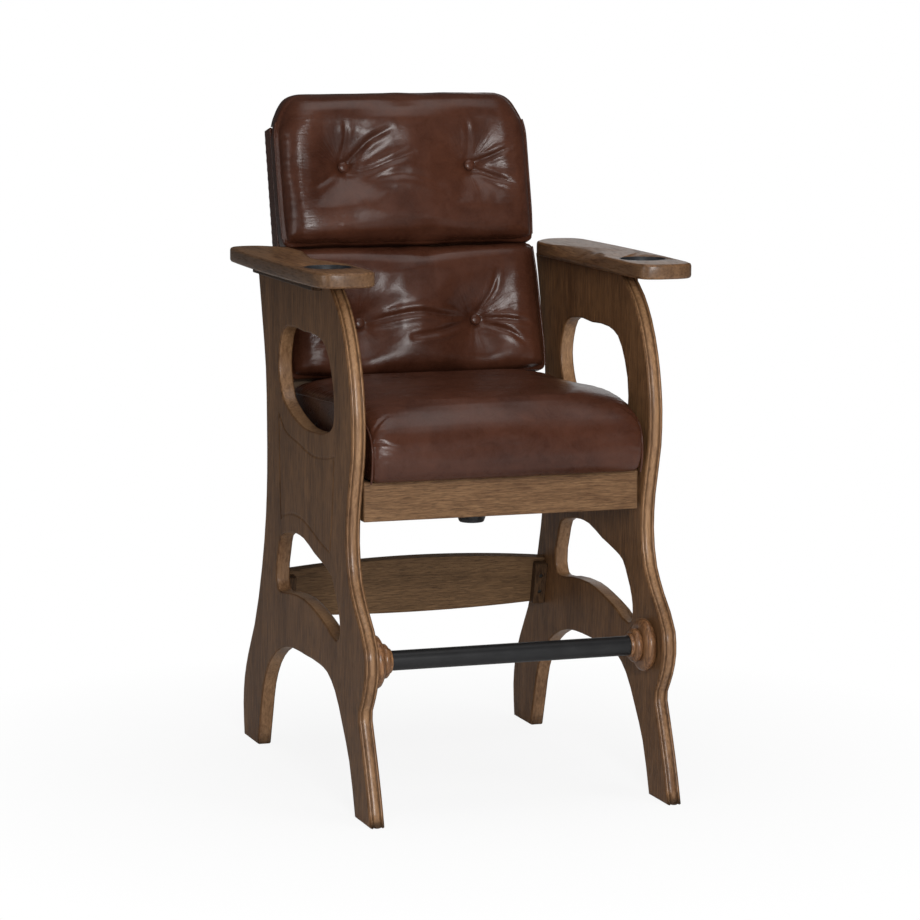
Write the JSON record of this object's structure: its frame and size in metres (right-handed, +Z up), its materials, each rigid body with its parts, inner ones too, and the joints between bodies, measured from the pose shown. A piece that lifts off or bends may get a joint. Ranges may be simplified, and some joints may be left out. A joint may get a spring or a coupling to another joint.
{
  "type": "spectator bar stool",
  "caption": "Tall bar-height armchair with shaped wood side panels, padded leather seat and tufted back, cup recesses, scooped cue rests and a metal footrail.",
  "frame": {"origin": "centre of the overall box at floor level", "axes": "+Z up, the sitter faces -Y, +X to the right side panel as seen from the front"},
  "size_m": [0.7532, 0.8435, 1.2945],
  "materials": {
    "walnut": "brown stained open-grain wood with a satin lacquer",
    "rail_walnut": "the same stain, lighter, with the grain lengthwise",
    "hidden_wood": "plain unfinished frame wood",
    "leather": "dark red-brown leather with a soft gloss",
    "black_metal": "satin black coating",
    "black_plastic": "satin black moulding",
    "dark_steel": "blackened steel"
  },
  "bodies": {
    "frame": {"side_panel_left": "walnut", "side_panel_right": "walnut", "arm_left": "walnut", "arm_right": "walnut", "arm_cleat_left": "walnut", "arm_cleat_right": "walnut", "rosette_left": "walnut", "rosette_right": "walnut", "rear_stretcher": "walnut", "stretcher_cleat_left": "walnut", "stretcher_cleat_right": "walnut", "front_rail": "rail_walnut", "side_rail_left": "hidden_wood", "side_rail_right": "hidden_wood", "rear_seat_rail": "hidden_wood", "seat_brace": "hidden_wood", "seat_deck": "hidden_wood", "corner_block_front_left": "hidden_wood", "corner_block_front_right": "hidden_wood", "corner_block_rear_left": "hidden_wood", "corner_block_rear_right": "hidden_wood", "back_stile_left": "hidden_wood", "back_stile_right": "hidden_wood", "back_top_rail": "hidden_wood", "back_middle_rail": "hidden_wood", "back_bottom_rail": "hidden_wood", "seat_cushion": "leather", "lower_back_cushion": "leather", "upper_back_cushion": "leather", "back_side_band_left": "leather", "back_side_band_right": "leather", "outside_back_panel": "leather", "tuft_button_upper_left": "leather", "tuft_button_upper_right": "leather", "tuft_button_lower_left": "leather", "tuft_button_lower_right": "leather", "foot_rail_tube": "black_metal", "under_seat_cap": "black_plastic", "arm_screw_left_front": "dark_steel", "arm_screw_left_rear": "dark_steel", "arm_screw_right_front": "dark_steel", "arm_screw_right_rear": "dark_steel", "rail_bolt_left_front": "dark_steel", "rail_bolt_left_rear": "dark_steel", "rail_bolt_right_front": "dark_steel", "rail_bolt_right_rear": "dark_steel", "back_bolt_left": "dark_steel", "back_bolt_right": "dark_steel", "rosette_screw_left": "dark_steel", "rosette_screw_right": "dark_steel", "cleat_screw_left_lower": "dark_steel", "cleat_screw_left_upper": "dark_steel", "cleat_screw_right_lower": "dark_steel", "cleat_screw_right_upper": "dark_steel"},
    "left_cup_liner": {"cup_insert_left": "black_plastic"},
    "right_cup_liner": {"cup_insert_right": "black_plastic"}
  },
  "joints": [
    {"name": "left_cup_liner_lift", "type": "slide", "parent": "frame", "child": "left_cup_liner", "axis": [0, 0, 1], "range_m": [0, 0.03]},
    {"name": "right_cup_liner_lift", "type": "slide", "parent": "frame", "child": "right_cup_liner", "axis": [0, 0, 1], "range_m": [0, 0.03]}
  ]
}
